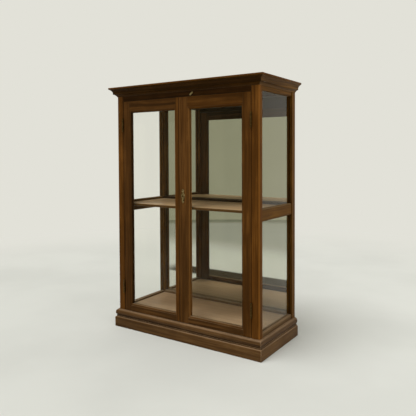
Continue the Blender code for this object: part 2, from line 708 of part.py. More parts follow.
def make_hinges(hand, side, hinge, stile):
    """Two butt hinges: the post's leaf has the pin and the odd knuckles, the door's leaf the even ones."""
    pitch = HINGE_LENGTH / KNUCKLES
    axis_x = side * HINGE_X
    clear = FRONT + LEAF_NOTCH
    for end, level in HINGE_LEVELS.items():
        foot = level - HINGE_LENGTH / 2
        boolean(stile, hinge_gain(f"{hand} door {end} gain", side, level, DOOR_OUTER, -1))
        for owner, face, inward, first in (("post", POST_INNER, 1, 0), ("door", DOOR_OUTER, -1, 1)):
            low_x, high_x = sorted((side * face, side * (face + inward * LEAF_THICKNESS)))
            name = f"{hand}_hinge_{end}_{owner}_leaf"
            leaf = box(name, (low_x, clear, foot), (high_x, FRONT + LEAF_DEPTH, foot + HINGE_LENGTH))
            as_part(leaf, "brass", hinge if owner == "door" else None)
            for knuckle in range(first, KNUCKLES, 2):
                low_z = foot + knuckle * pitch + (KNUCKLE_GAP / 2 if knuckle else 0.0)
                last = knuckle == KNUCKLES - 1
                high_z = foot + (knuckle + 1) * pitch - (0.0 if last else KNUCKLE_GAP / 2)
                tag = f"{name} {knuckle}"
                finger_end = (high_x, clear + LEAF_THICKNESS, high_z)
                finger = box(f"{tag} finger", (low_x, HINGE_Y, low_z), finger_end)
                boolean(leaf, as_cutter(finger), "UNION")
                barrel_foot = (axis_x, HINGE_Y, low_z)
                barrel = cylinder(f"{tag} barrel", KNUCKLE_RADIUS, barrel_foot, Z_AXIS, high_z - low_z)
                boolean(leaf, as_cutter(barrel), "UNION")
            if owner == "post":
                pin_start = (axis_x, HINGE_Y, foot + pitch / 2)
                pin = cylinder(f"{name} pin", PIN_RADIUS, pin_start, Z_AXIS, HINGE_LENGTH - pitch)
                boolean(leaf, as_cutter(pin), "UNION")
            else:
                bore_start = (axis_x, HINGE_Y, foot)
                bore = cylinder(f"{name} bore", PIN_RADIUS + FIT, bore_start, Z_AXIS, HINGE_LENGTH)
                boolean(leaf, as_cutter(bore))


def keyhole(name, place, depth, grow=0.0):
    """Cutters for a round hole over a narrower slot, from a place on the front towards the back."""
    radius = KEYHOLE_RADIUS + grow
    half_slot = KEYHOLE_SLOT / 2 + grow
    x, y, z = place
    hole = cylinder(f"{name} round", radius, place, Y_AXIS, depth, ROUND_STEPS // 2)
    slot = box(f"{name} slot", (x - half_slot, y, z - KEYHOLE_DROP - grow), (x + half_slot, y + depth, z))
    boolean(hole, as_cutter(slot), "UNION")
    return as_cutter(hole)


def make_lock(hinge, meeting_stile, left_meeting_stile):
    case_left = RIGHT_MEETING_EDGE + LOCK_EDGE
    case_right = case_left + LOCK_WIDTH
    case_front = DOOR_BACK - LOCK_DEPTH
    half = LOCK_HEIGHT / 2
    low = Vector((case_left, case_front, LOCK_CENTRE - half))
    high = Vector((case_right, DOOR_BACK, LOCK_CENTRE + half))
    grow = Vector((FIT, FIT, FIT))
    boolean(meeting_stile, as_cutter(box("lock recess", low - grow, high + grow)))
    case = as_part(box("lock_case", low, high), "brass", hinge)

    # The bolt's way runs from inside the case through the edges of both stiles
    bolt_y = case_front + LOCK_DEPTH / 2
    half_z = LOCK_BOLT_HEIGHT / 2
    half_y = LOCK_BOLT_THICKNESS / 2
    bolt_left = RIGHT_MEETING_EDGE
    bolt_right = bolt_left + LOCK_BOLT_LENGTH
    way_left = LEFT_MEETING_EDGE - LOCK_THROW
    way_low = (way_left, bolt_y - half_y - FIT, LOCK_CENTRE - half_z - FIT)
    way_high = (bolt_right + FIT, bolt_y + half_y + FIT, LOCK_CENTRE + half_z + FIT)
    way = as_cutter(box("bolt way", way_low, way_high))
    for piece in (case, meeting_stile, left_meeting_stile):
        boolean(piece, way)
    bolt_low = (bolt_left, bolt_y - half_y, LOCK_CENTRE - half_z)
    bolt_high = (bolt_right, bolt_y + half_y, LOCK_CENTRE + half_z)
    bolt = box("lock_bolt", bolt_low, bolt_high)
    as_part(bolt, "brass", hinge)

    bead_end = RIGHT_MEETING_EDGE + BEAD_WIDTH + BEAD_QUIRK
    key_x = bead_end + ESCUTCHEON_CLEARANCE + ESCUTCHEON_HALF_WIDTH
    front = FRONT - ESCUTCHEON_THICKNESS - 2 * FIT
    through = case_front + LOCK_DEPTH / 2 - front
    boolean(meeting_stile, keyhole("stile keyhole", (key_x, front, LOCK_CENTRE), through, FIT))
    boolean(case, keyhole("case keyhole", (key_x, front, LOCK_CENTRE), through))
    upper_right = [(ESCUTCHEON_NECK_HALF_WIDTH, ESCUTCHEON_HALF_HEIGHT - ESCUTCHEON_NECK_DROP)]
    upper_right += [(ESCUTCHEON_LOBE_HALF_WIDTH, ESCUTCHEON_HALF_HEIGHT - ESCUTCHEON_LOBE_DROP)]
    upper_right += [(ESCUTCHEON_TIP_HALF_WIDTH, ESCUTCHEON_HALF_HEIGHT - ESCUTCHEON_TIP_DROP)]
    lower_right = [(across, -upward) for across, upward in reversed(upper_right)]
    right_half = [*lower_right, (ESCUTCHEON_HALF_WIDTH, 0.0), *upper_right]
    right_half += [(0.0, ESCUTCHEON_HALF_HEIGHT)]
    outline = right_half + [(-across, -upward) for across, upward in right_half]
    start = (key_x, FRONT - FIT, LOCK_CENTRE)
    plate = drawn_out("escutcheon", outline, ESCUTCHEON_THICKNESS, X_AXIS, Z_AXIS, start, smooth=True)
    as_part(plate, "brass", hinge)
    boolean(plate, keyhole("plate keyhole", (key_x, front, LOCK_CENTRE), 2 * ESCUTCHEON_THICKNESS))

    # A raised oval rim stands round the keyhole
    rim_start = (key_x, FRONT - FIT - ESCUTCHEON_THICKNESS / 2, LOCK_CENTRE - KEYHOLE_DROP / 2)
    rim_length = ESCUTCHEON_THICKNESS / 2 + KEY_RIM_RISE
    rims = []
    for tag, wall in (("rim", 0.0), ("rim inside", KEY_RIM_WALL)):
        half_width = KEY_RIM_HALF_WIDTH - wall
        half_height = KEY_RIM_HALF_HEIGHT - wall
        oval = arc((0.0, 0.0), half_width, half_height, 0, 360, ROUND_STEPS)[1:]
        length = rim_length + wall
        rims.append(as_cutter(drawn_out(f"escutcheon {tag}", oval, length, X_AXIS, Z_AXIS, rim_start)))
    boolean(rims[0], rims[1])
    boolean(plate, rims[0], "UNION")


def make_door_bolt(end, hinge):
    """A sliding bolt in two staples on a plate; the top one shoots up and the bottom one down."""
    way = 1 if end == "top" else -1
    seat = FRIEZE_BOTTOM - STOP_DROP if end == "top" else FLOOR_TOP
    tip = seat - way * BOLT_REST_GAP
    tail = tip - way * BOLT_LENGTH
    plate_near = tip - way * BOLT_PLATE_SETBACK
    plate_far = tail
    low_z, high_z = sorted((plate_near, plate_far))
    half = BOLT_PLATE_WIDTH / 2
    plate_back = DOOR_BACK + FIT + BOLT_PLATE_THICKNESS
    low = (BOLT_X - half, DOOR_BACK + FIT, low_z)
    plate = box(f"door_bolt_plate_{end}", low, (BOLT_X + half, plate_back, high_z))
    as_part(plate, "brass", hinge)

    bore = BOLT_RADIUS + BOLT_PLAY
    outer = bore + STAPLE_WALL
    staple_far = plate_far + way * (BOLT_THROW + STAPLE_HEIGHT)
    for tag, near in (("upper", plate_near), ("lower", staple_far)):
        staple_low, staple_high = sorted((near, near - way * STAPLE_HEIGHT))
        corner = (BOLT_X - outer, plate_back - BOLT_PLATE_THICKNESS / 2, staple_low)
        staple = box(f"{end} bolt {tag} staple", corner, (BOLT_X + outer, BOLT_Y + outer, staple_high))
        boolean(plate, as_cutter(staple), "UNION")
    bottom = min(tip, tail) - BOLT_THROW
    hole = cylinder(f"{end} bolt way", bore, (BOLT_X, BOLT_Y, bottom), Z_AXIS, BOLT_LENGTH + 2 * BOLT_THROW)
    boolean(plate, as_cutter(hole))

    rod = cylinder(f"door_bolt_{end}", BOLT_RADIUS, (BOLT_X, BOLT_Y, min(tip, tail)), Z_AXIS, BOLT_LENGTH)
    as_part(rod, "brass", hinge)
    knob_z = (plate_near - way * STAPLE_HEIGHT + staple_far - way * BOLT_THROW) / 2
    start = (BOLT_X, BOLT_Y, knob_z)
    reach = BOLT_RADIUS + BOLT_KNOB_REACH
    knob = cylinder(f"{end} bolt knob", BOLT_KNOB_RADIUS, start, Y_AXIS, reach, ROUND_STEPS // 2)
    boolean(rod, as_cutter(knob), "UNION")


def make_turn_button():
    pivot_place = Vector((BUTTON_X, FRONT - FIT, FRIEZE_BOTTOM + BUTTON_RISE))
    tilt = math.degrees(math.asin((BUTTON_PIVOT_RADIUS - BUTTON_TIP_RADIUS) / BUTTON_REACH))
    outline = arc((0.0, 0.0), BUTTON_PIVOT_RADIUS, BUTTON_PIVOT_RADIUS, 90 - tilt, 270 + tilt, 2 * ARC_STEPS)
    outline += arc((BUTTON_REACH, 0.0), BUTTON_TIP_RADIUS, BUTTON_TIP_RADIUS, tilt - 90, 90 - tilt)
    along = X_AXIS * math.cos(BUTTON_ANGLE) + Z_AXIS * math.sin(BUTTON_ANGLE)
    upright = Z_AXIS * math.cos(BUTTON_ANGLE) - X_AXIS * math.sin(BUTTON_ANGLE)
    button = drawn_out("turn_button", outline, BUTTON_THICKNESS, along, upright, pivot_place)
    as_part(button, "brass")
    spare = BUTTON_THICKNESS
    hole_start = pivot_place - Y_AXIS * (BUTTON_THICKNESS + spare)
    hole_length = BUTTON_THICKNESS + 2 * spare
    hole = cylinder("button hole", SCREW_RADIUS + FIT, hole_start, Y_AXIS, hole_length, ROUND_STEPS // 2)
    boolean(button, as_cutter(hole))

    # The screw is turned: a domed head, then a shank that stops inside the rail
    seat = BUTTON_THICKNESS + FIT
    profile = arc((0.0, seat), SCREW_HEAD_RADIUS, SCREW_HEAD_HEIGHT, 90, 0)
    profile += [(SCREW_RADIUS, seat), (SCREW_RADIUS, -SCREW_LENGTH), (0.0, -SCREW_LENGTH)]
    shape = bmesh.new()
    corners = [shape.verts.new((across, 0.0, upward)) for across, upward in profile]
    for near, far in zip(corners, corners[1:]):
        shape.edges.new((near, far))
    screw = mesh_object("turn_button_screw", shape, pivot_place)
    screw.rotation_euler = (math.radians(90), 0.0, 0.0)
    turned = screw.modifiers.new("turned", "SCREW")
    turned.steps = ROUND_STEPS // 2
    turned.render_steps = ROUND_STEPS // 2
    turned.use_merge_vertices = True
    turned.merge_threshold = WELD_DISTANCE
    as_part(screw, "brass")


def round_shading():
    """Smooth shading on all but the sharp edges."""
    for piece in PARTS.objects:
        if piece.type == "MESH":
            piece.data.shade_smooth()
            piece.data.set_sharp_from_angle(angle=SHARP_ANGLE)


clear_scene()
PARTS = new_collection("haberdashery_cabinet")
CUTTERS = new_collection("cutters")

make_plinth()
make_base_frame()
make_floor()
make_posts()
make_frieze()
make_sides()
make_back()
make_shelf()
make_top()

left_hinge = pivot("left_door_pivot", Vector((-HINGE_X, HINGE_Y, DOOR_BOTTOM)))
right_hinge = pivot("right_door_pivot", Vector((HINGE_X, HINGE_Y, DOOR_BOTTOM)))
left_stiles = make_door(
    "left", left_hinge, -DOOR_OUTER, LEFT_MEETING_EDGE, STILE_FACE, LEFT_MEETING_FACE, bead=False
)
right_stiles = make_door(
    "right", right_hinge, RIGHT_MEETING_EDGE, DOOR_OUTER, RIGHT_MEETING_FACE, STILE_FACE, bead=True
)
make_hinges("left", -1, left_hinge, left_stiles["hinge_stile"])
make_hinges("right", 1, right_hinge, right_stiles["hinge_stile"])
make_lock(right_hinge, right_stiles["meeting_stile"], left_stiles["meeting_stile"])
make_door_bolt("top", left_hinge)
make_door_bolt("bottom", left_hinge)
make_turn_button()
round_shading()
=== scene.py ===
import math

import bmesh
import bpy
from mathutils import Matrix, Vector


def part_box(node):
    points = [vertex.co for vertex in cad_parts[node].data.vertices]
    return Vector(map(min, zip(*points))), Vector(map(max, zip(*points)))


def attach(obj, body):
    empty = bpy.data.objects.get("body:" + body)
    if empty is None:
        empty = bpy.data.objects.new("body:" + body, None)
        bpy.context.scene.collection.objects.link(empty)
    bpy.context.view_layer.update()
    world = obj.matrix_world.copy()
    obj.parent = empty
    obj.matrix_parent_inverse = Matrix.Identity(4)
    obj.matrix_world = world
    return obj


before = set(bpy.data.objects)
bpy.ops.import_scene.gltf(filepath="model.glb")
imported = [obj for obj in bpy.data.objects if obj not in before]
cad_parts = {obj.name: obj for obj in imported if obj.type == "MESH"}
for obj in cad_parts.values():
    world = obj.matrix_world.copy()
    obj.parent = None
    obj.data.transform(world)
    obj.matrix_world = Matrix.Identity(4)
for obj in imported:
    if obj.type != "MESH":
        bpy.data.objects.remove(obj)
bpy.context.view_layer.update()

# Plinth: three mahogany boards on the floor, mitred at the front corners, and a board across the back.
# They are stained and polished like the rest of the front, and scuffed and dusty where brooms meet them.
# The paleness along their top edges is partly painted highlight.


class Signal:
    """An output socket in a node tree. Arithmetic on it adds Math nodes, and node() adds any other kind."""

    def __init__(self, tree, socket=None):
        self.tree = tree
        self.socket = socket

    def node(self, kind, settings=None, values=None, output=0):
        """A node of a kind: its settings are set first, then the values or links of its sockets."""
        made = self.tree.nodes.new("ShaderNode" + kind)
        for name, value in (settings or {}).items():
            setattr(made, name, value)
        for place, value in (values or {}).items():
            if isinstance(value, Signal):
                self.tree.links.new(value.socket, made.inputs[place])
            else:
                made.inputs[place].default_value = value
        return Signal(self.tree, made.outputs[output] if made.outputs else None)

    def math(self, operation, first, second):
        return self.node("Math", {"operation": operation}, {0: first, 1: second})

    def __add__(self, other):
        return self.math("ADD", self, other)

    __radd__ = __add__

    def __mul__(self, other):
        return self.math("MULTIPLY", self, other)

    __rmul__ = __mul__

    def __sub__(self, other):
        return self.math("SUBTRACT", self, other)

    def __rsub__(self, other):
        return self.math("SUBTRACT", other, self)

    def __abs__(self):
        return self.math("ABSOLUTE", self, 0.0)


FULL = 255
DARK_LIMIT, DARK_SLOPE = 0.04045, 12.92
CURVE_OFFSET, CURVE_POWER = 0.055, 2.4


def colour(red, green, blue):
    """A colour as the eye reads it, each part from 0 to 255, turned into the light that it reflects."""
    light = []
    for part in (red, green, blue):
        share = part / FULL
        if share <= DARK_LIMIT:
            light.append(share / DARK_SLOPE)
        else:
            light.append(((share + CURVE_OFFSET) / (1 + CURVE_OFFSET)) ** CURVE_POWER)
    return (*light, 1.0)


def wood_tones(dark, middle, light, dusty):
    """A wood's four colours: its dark lines, its body, its light streaks, and its dust and wear, also used
    as painted highlight.
    """
    tones = {"dark": dark, "middle": middle, "light": light, "dusty": dusty}
    return {name: colour(*parts) for name, parts in tones.items()}


FIRST_COLOUR, SECOND_COLOUR, MIXED_COLOUR = 6, 7, 2


def mixed(share, first, second):
    """Two colours mixed: the share says how much of the second there is."""
    values = {0: share, FIRST_COLOUR: first, SECOND_COLOUR: second}
    return share.node("Mix", {"data_type": "RGBA"}, values, MIXED_COLOUR)


def between(value, low, high):
    """0 below one value and 1 above the other, with a soft step in the middle."""
    limits = {"Value": value, "From Min": low, "From Max": high}
    return value.node("MapRange", {"interpolation_type": "SMOOTHSTEP"}, limits)


def speckle(place, scale, detail=2.0, distortion=0.0):
    """Cloudy noise; the scale is about how many clouds there are to a metre."""
    settings = {"Vector": place, "Scale": scale, "Detail": detail, "Distortion": distortion}
    return place.node("TexNoise", None, settings)


def blotches(place, low, high, **pattern):
    """Speckle that is spread out to 0 below one level and 1 above another."""
    return between(speckle(place, **pattern), low, high)


def at_least(least, mask):
    """A mask that never falls below a share."""
    return least + mask * (1 - least)


def new_material(name):
    """An empty material, and the bench that its nodes are made on."""
    material = bpy.data.materials.new(name)
    material.use_nodes = True
    material.node_tree.nodes.clear()
    return material, Signal(material.node_tree)


def finish_with(bench, shader_values):
    """Closes a material with one Principled shader."""
    shader = bench.node("BsdfPrincipled", None, shader_values)
    bench.node("OutputMaterial", None, {"Surface": shader})


def spot_on(bench):
    """The place of a spot on a piece, in metres."""
    return bench.node("TexCoord", None, None, "Object")


def along(place, axis):
    return place.node("SeparateXYZ", None, {"Vector": place}, axis)


def agreement(first, second):
    """1 where two directions agree, 0 where they are square to each other."""
    return first.node("VectorMath", {"operation": "DOT_PRODUCT"}, {0: first, 1: second}, "Value")


NEARBY_SAMPLES = 6


def edge_share(bench, radius):
    """How near a spot is to an edge: the rounded normal turns away from the flat one there."""
    rounded = bench.node("Bevel", {"samples": NEARBY_SAMPLES}, {"Radius": radius})
    flat = bench.node("NewGeometry", None, None, "Normal")
    return 1 - agreement(rounded, flat)


def corner_share(bench, reach, low, high):
    """1 in corners and under ledges, as far as the reach, and 0 in the open."""
    opening = bench.node("AmbientOcclusion", {"samples": NEARBY_SAMPLES}, {"Distance": reach}, "AO")
    return 1 - between(opening, low, high)


def facing_share(bench, axis, low=0.35, high=0.95):
    """1 on faces that look along an axis, such as those that dust lies on, and 0 on those square to it."""
    return between(agreement(bench.node("NewGeometry", None, None, "Normal"), axis), low, high)


UPWARD = (0, 0, 1)
DRAWN_OUT = 0.04
BOARD_STEP = (3.1, 1.7, 2.3)
FIGURE = {"scale": 17.0, "detail": 3.0, "distortion": 0.9, "low": 0.34, "high": 0.68}
RINGS = {"Scale": 18.0, "Distortion": 7.0, "Detail": 3.0, "Detail Scale": 1.6}
STREAKS = {"scale": 95.0, "detail": 4.0, "low": 0.36, "high": 0.66}
PORES = {"scale": 620.0, "low": 0.56, "high": 0.74}
PATCHES = {"scale": 7.0, "distortion": 0.4, "low": 0.35, "high": 0.7}
SCUFFS = {"scale": 60.0, "detail": 4.0, "low": 0.33, "high": 0.6}
DUST = {"scale": 8.0, "detail": 6.0, "low": 0.3, "high": 0.7}
BODY_LEAST, FIGURE_SHARE, RING_SHARE = 0.2, 0.45, 0.25
STREAK_LEAST, PATCH_SHARE = 0.2, 0.38
PORE_SHARE, PORE_DEPTH = 0.5, 0.8
LOW_SHADE_HEIGHTS = (0.50, 0.66)
WORN_LIMITS, WORN_LEAST = (0.03, 0.3), 0.45
CORNER_SHADE_LIMITS, CORNER_SHADE_SHARE, CORNER_SHADE_TONE = (0.25, 0.85), 0.65, 0.3
DUST_LEAST = 0.6
ROUGHNESS = {"polish": 0.36, "streaks": 0.10, "dust": 0.25, "wear": 0.12, "pores": 0.10}
PORE_RELIEF = {"Strength": 0.35, "Distance": 0.0004}
GLOSS = {"Specular IOR Level": 0.03, "Coat Roughness": 0.16}


def wood(name, grain, tones, board, polish=0.03, dust=0.25, wear=0.3, edge=0.0024, shade_reach=0.02,
         low_shade=0.0, tinted=()):
    """Polished wood with its grain along one axis; each board is cut from another place in the timber.

    polish is the weight of the clear coat. dust, wear and low_shade are the shares of dust on upper faces,
    of rubbing along edges and of painted shade low down; where they are heavy, dust and wear also stand for
    painted highlight. edge is how far wear reaches, and the corner reach how far painted shade in corners
    reaches, in metres. Each tinted row gives the faces that look along an axis a share of another colour.
    """
    dark, middle, light, dusty = tones.values()
    material, bench = new_material(name)
    place = spot_on(bench)
    lengthways = [1.0, 1.0, 1.0]
    lengthways[grain] = DRAWN_OUT
    start = [step * board for step in BOARD_STEP]
    timber = bench.node("Mapping", None, {"Vector": place, "Location": start, "Scale": lengthways})
    figure = blotches(timber, **FIGURE)
    crossways = "XYZ"[(grain + 1) % 3]
    rings = bench.node("TexWave", {"bands_direction": crossways}, {"Vector": timber, **RINGS}, "Fac")
    streaks = blotches(timber, **STREAKS)
    pores = blotches(timber, **PORES)
    patches = blotches(place, **PATCHES)

    base = mixed(BODY_LEAST + figure * FIGURE_SHARE + rings * RING_SHARE, dark, middle)
    base = mixed(streaks * (STREAK_LEAST + patches * PATCH_SHARE), base, light)
    base = mixed(pores * PORE_SHARE, base, dark)
    # Painted shade: darker towards the bottom.
    if low_shade:
        below = 1 - between(along(place, "Z"), *LOW_SHADE_HEIGHTS)
        base = mixed(below * low_shade, base, dark)
    for row in tinted:
        facing = facing_share(bench, row["axis"], row["low"], row["high"])
        base = mixed(facing * row["share"], base, row["tint"])

    wear_and_highlight = between(edge_share(bench, edge), *WORN_LIMITS) * at_least(WORN_LEAST, blotches(place, **SCUFFS))
    base = mixed(wear_and_highlight * wear, base, dusty)
    # Painted shade: darker in corners and under ledges, as far as the corner reach.
    corner_shade_colour = (*(CORNER_SHADE_TONE * part for part in dark[:3]), 1.0)
    base = mixed(corner_share(bench, shade_reach, *CORNER_SHADE_LIMITS) * CORNER_SHADE_SHARE, base, corner_shade_colour)
    dust_and_highlight = facing_share(bench, UPWARD) * at_least(DUST_LEAST, blotches(place, **DUST))
    base = mixed(dust_and_highlight * dust, base, dusty)

    rough = ROUGHNESS["polish"] + streaks * ROUGHNESS["streaks"] + dust_and_highlight * ROUGHNESS["dust"]
    rough = rough + wear_and_highlight * ROUGHNESS["wear"] + pores * ROUGHNESS["pores"]
    relief = bench.node("Bump", None, {**PORE_RELIEF, "Height": 1 - pores * PORE_DEPTH})
    surface = {"Base Color": base, "Roughness": rough, "Normal": relief}
    finish_with(bench, {**surface, **GLOSS, "Coat Weight": polish})
    return material


SAME_POINT = 0.00001
TRUE_CORNER = math.radians(30)


def even_edges():
    """Nodes that weld a piece's facets, round off their shading and keep true corners sharp."""
    group = bpy.data.node_groups.new("even_edges", "GeometryNodeTree")
    group.is_modifier = True
    group.interface.new_socket("Geometry", in_out="INPUT", socket_type="NodeSocketGeometry")
    group.interface.new_socket("Geometry", in_out="OUTPUT", socket_type="NodeSocketGeometry")
    entry = group.nodes.new("NodeGroupInput")
    weld = group.nodes.new("GeometryNodeMergeByDistance")
    weld.inputs["Distance"].default_value = SAME_POINT
    bend = group.nodes.new("GeometryNodeInputMeshEdgeAngle")
    corner = group.nodes.new("ShaderNodeMath")
    corner.operation = "GREATER_THAN"
    corner.inputs[1].default_value = TRUE_CORNER
    shading = group.nodes.new("GeometryNodeSetMeshNormal")
    leave = group.nodes.new("NodeGroupOutput")
    group.links.new(entry.outputs[0], weld.inputs["Geometry"])
    group.links.new(bend.outputs["Unsigned Angle"], corner.inputs[0])
    group.links.new(weld.outputs[0], shading.inputs["Mesh"])
    group.links.new(corner.outputs[0], shading.inputs["Edge Sharpness"])
    group.links.new(shading.outputs[0], leave.inputs[0])
    return group


welded = even_edges()
FLAT_WITHIN = math.radians(0.5)
ROUNDED_FROM = math.radians(35)
ROUNDING_STEPS = 2


def dress(name, material, softening=0.0):
    """Gives a CAD node its finish, even shading and, where it has worked corners, a little softening."""
    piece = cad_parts[name]
    piece.material_slots[0].material = material
    even = piece.modifiers.new("even edges", "NODES")
    even.node_group = welded
    if softening:
        flat = piece.modifiers.new("flat faces", "DECIMATE")
        flat.decimate_type = "DISSOLVE"
        flat.angle_limit = FLAT_WITHIN
        rubbed = piece.modifiers.new("rubbed corners", "BEVEL")
        rubbed.width = softening
        rubbed.segments = ROUNDING_STEPS
        rubbed.limit_method = "ANGLE"
        rubbed.angle_limit = ROUNDED_FROM
        rubbed.harden_normals = True


ALONG_X, ALONG_Y, ALONG_Z = range(3)
FRONT_AND_SIDES = (("front", ALONG_X), ("left", ALONG_Y), ("right", ALONG_Y))
RUBBED = 0.0007
# Dust and wear on the base are laid heavy, partly as painted highlight on its upper edges and curves.
BASE_DUST_WEAR_AND_HIGHLIGHT = {"polish": 0.2, "dust": 0.5, "wear": 0.7, "edge": 0.006}
plinth_tones = wood_tones((64, 41, 15), (98, 66, 31), (140, 103, 62), (176, 146, 114))
for board, (side, grain) in enumerate(FRONT_AND_SIDES, start=1):
    dress(f"plinth_{side}", wood(f"plinth_{side}_wood", grain, plinth_tones, board, **BASE_DUST_WEAR_AND_HIGHLIGHT), RUBBED)
unpolished = wood_tones((84, 62, 40), (118, 92, 62), (146, 118, 84), (158, 146, 126))
dress("plinth_back", wood("plinth_back_wood", ALONG_X, unpolished, board=4, polish=0.0), RUBBED)

# Base frame: mouldings planed in the solid, a fillet under a half-round torus, mitred on the plinth.
# The grain runs along each length; dust and wear, partly painted highlight, lie on the upper curve of the
# torus.

base_tones = wood_tones((57, 36, 14), (88, 58, 27), (130, 95, 57), (172, 142, 110))
for board, (side, grain) in enumerate(FRONT_AND_SIDES, start=5):
    dress(f"base_moulding_{side}", wood(f"base_{side}_wood", grain, base_tones, board, **BASE_DUST_WEAR_AND_HIGHLIGHT), RUBBED)

# Floor board: a thin plain board laid in the base frame, waxed once and now dry and grey-brown with use.
# It is notched round the front posts, and its front edge stops the doors.

inside = wood_tones((146, 114, 83), (175, 141, 106), (200, 165, 128), (202, 178, 150))
dress("floor_board", wood("floor_wood", ALONG_X, inside, board=8, polish=0.1, dust=0.3), RUBBED)

# Posts: four uprights of one board each. The front pair has a rounded outer corner, painted paler along it
# as a highlight, and seats for the hinges. The back pair is rebated for the mirror and the back panel,
# with painted shade in its corners.

post_tones = wood_tones((64, 38, 11), (106, 64, 20), (152, 98, 40), (158, 130, 98))
side_tones = wood_tones((62, 38, 9), (106, 68, 19), (148, 101, 37), (160, 134, 98))
DIAGONAL = 0.707
# Painted highlight: the rounded corner of each front post is mixed towards the light tone.
CORNER_HIGHLIGHT = {"low": 0.78, "high": 0.99, "share": 0.55, "tint": post_tones["light"]}
FRONT_SHADE_REACH = 0.006
BACK_SHADE_REACHES = {"left": 0.012, "right": 0.04}
for board, (side, hand) in enumerate(((-1, "left"), (1, "right")), start=9):
    name = f"post_front_{hand}"
    corner_highlight_row = {"axis": (DIAGONAL * side, -DIAGONAL, 0), **CORNER_HIGHLIGHT}
    post_wood = wood(f"{name}_wood", ALONG_Z, post_tones, board, shade_reach=FRONT_SHADE_REACH, tinted=[corner_highlight_row])
    dress(name, post_wood, RUBBED)
for board, (hand, shade_reach) in enumerate(BACK_SHADE_REACHES.items(), start=11):
    name = f"post_back_{hand}"
    dress(name, wood(f"{name}_wood", ALONG_Z, side_tones, board, shade_reach=shade_reach), RUBBED)

# Rail over the doors: a deep board tenoned between the front posts, with a lip behind that stops the doors.
# It lies in the shadow of the cornice, so its tones are painted dark as shade.

shaded = wood_tones((34, 19, 4), (56, 32, 8), (82, 50, 16), (148, 120, 90))
dress("frieze_rail", wood("frieze_wood", ALONG_X, shaded, board=13), RUBBED)

# Side rails: a top, a middle and a bottom rail on each side, tongued into the posts and grooved for panes.
# The middle ones carry a bearer for the shelf inside, and the bottom ones gather dust on their upper faces.

SILL_DUST = 0.6
FIRST_SIDE_BOARD = 14
sill_tones = wood_tones((74, 53, 30), (108, 81, 52), (140, 111, 78), (166, 140, 112))
side_rails = {"top": side_tones, "mid": side_tones, "bottom": sill_tones}
for number, hand in enumerate(("left", "right")):
    first_board = FIRST_SIDE_BOARD + len(side_rails) * number
    for board, (rail, tones) in enumerate(side_rails.items(), start=first_board):
        name = f"side_{rail}_rail_{hand}"
        dress(name, wood(f"{name}_wood", ALONG_Y, tones, board, dust=SILL_DUST), RUBBED)

# Panes: old drawn glass, faintly green and not quite flat, held in grooves of side rails and door frames.
# Fingers and dusters have left a soft haze on it. Light on its way to the inside passes straight through.

DRAW_STRETCH = (1.0, 1.0, 0.35)
DRAW_WAVES = {"scale": 9.0, "detail": 1.0}
WAVE_RELIEF = {"Strength": 0.10, "Distance": 0.002}
HAZE = {"scale": 5.0, "detail": 4.0, "low": 0.48, "high": 0.8}
HAZE_ROUGHNESS = 0.02
CLEAR = {"Base Color": (0.975, 0.976, 0.952, 1.0), "Transmission Weight": 1.0, "IOR": 1.22}
SHEEN = {"Specular Tint": (1.0, 0.95, 0.74, 1.0)}
LET_THROUGH = (0.92, 0.925, 0.905, 1.0)


def ray(bench, question):
    """What a Light Path node says of the ray that meets the surface."""
    return bench.node("LightPath", None, None, question)


def pane_glass(name):
    """Clear glass that bends and mirrors what is looked at, and tints the light that falls through it."""
    material, bench = new_material(name)
    place = spot_on(bench)
    draw = bench.node("Mapping", None, {"Vector": place, "Scale": DRAW_STRETCH})
    relief = bench.node("Bump", None, {**WAVE_RELIEF, "Height": speckle(draw, **DRAW_WAVES)})
    surface = {"Roughness": blotches(place, **HAZE) * HAZE_ROUGHNESS, "Normal": relief}
    sheet = bench.node("BsdfPrincipled", None, {**CLEAR, **SHEEN, **surface})
    lit = bench.math("MAXIMUM", ray(bench, "Is Shadow Ray"), ray(bench, "Is Diffuse Ray"))
    passing = bench.node("BsdfTransparent", None, {"Color": LET_THROUGH})
    pane = bench.node("MixShader", None, {0: lit, 1: sheet, 2: passing})
    bench.node("OutputMaterial", None, {"Surface": pane})
    return material


for level in ("upper", "lower"):
    for hand in ("left", "right"):
        dress(f"side_glass_{level}_{hand}", pane_glass(f"side_glass_{level}_{hand}"))

# Back: three rails between the back posts, a silvered mirror behind them and a thin wooden panel that
# closes the rebates. The silvering has gone a little green and is foxed along its edges.

FOXED_EDGE = 0.014
FOXING = {"scale": 140.0, "detail": 6.0}
FOXING_REACH = 0.012
FOXING_LIMITS = (0.004, 0.016)
FOXING_SHARE = 0.6
CLOUDING = {"scale": 3.0, "low": 0.3, "high": 0.7}
SILVER_WAVES = {"scale": 2.2, "detail": 1.0}
SILVER_RELIEF = {"Strength": 0.06, "Distance": 0.002}
SILVER_ROUGHNESS, FOXED_ROUGHNESS = 0.015, 0.3
mirror_low, mirror_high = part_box("mirror")


